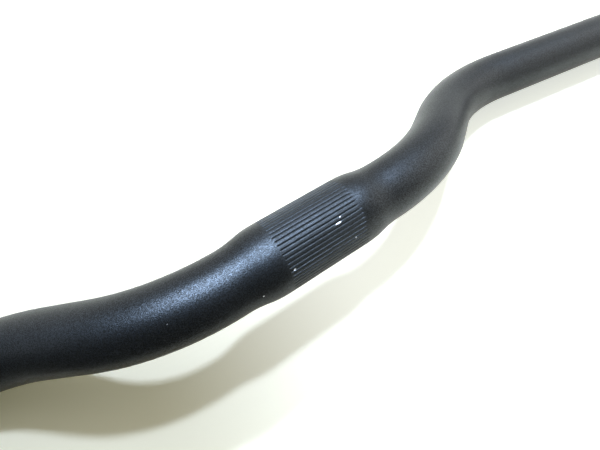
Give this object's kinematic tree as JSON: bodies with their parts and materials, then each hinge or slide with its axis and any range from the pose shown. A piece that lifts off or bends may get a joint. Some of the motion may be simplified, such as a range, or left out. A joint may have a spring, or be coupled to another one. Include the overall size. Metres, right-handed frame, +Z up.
{
  "type": "riser handlebar",
  "caption": "Riser handlebar for a bicycle: one bent aluminium tube with a thicker, finely grooved clamp zone in the middle, a low rise and straight swept grips, in satin black.",
  "frame": {"origin": "centre of the clamp zone, on the tube's axis", "axes": "+X along the bar through the clamp zone, +Z up with the bar lying on both grips, +Y to the side that the rise leans to"},
  "size_m": [0.6228, 0.0546, 0.041],
  "materials": {
    "black_coat": "fine-grained satin black coat on aluminium"
  },
  "bodies": {
    "root": {"handlebar": "black_coat"}
  },
  "joints": []
}
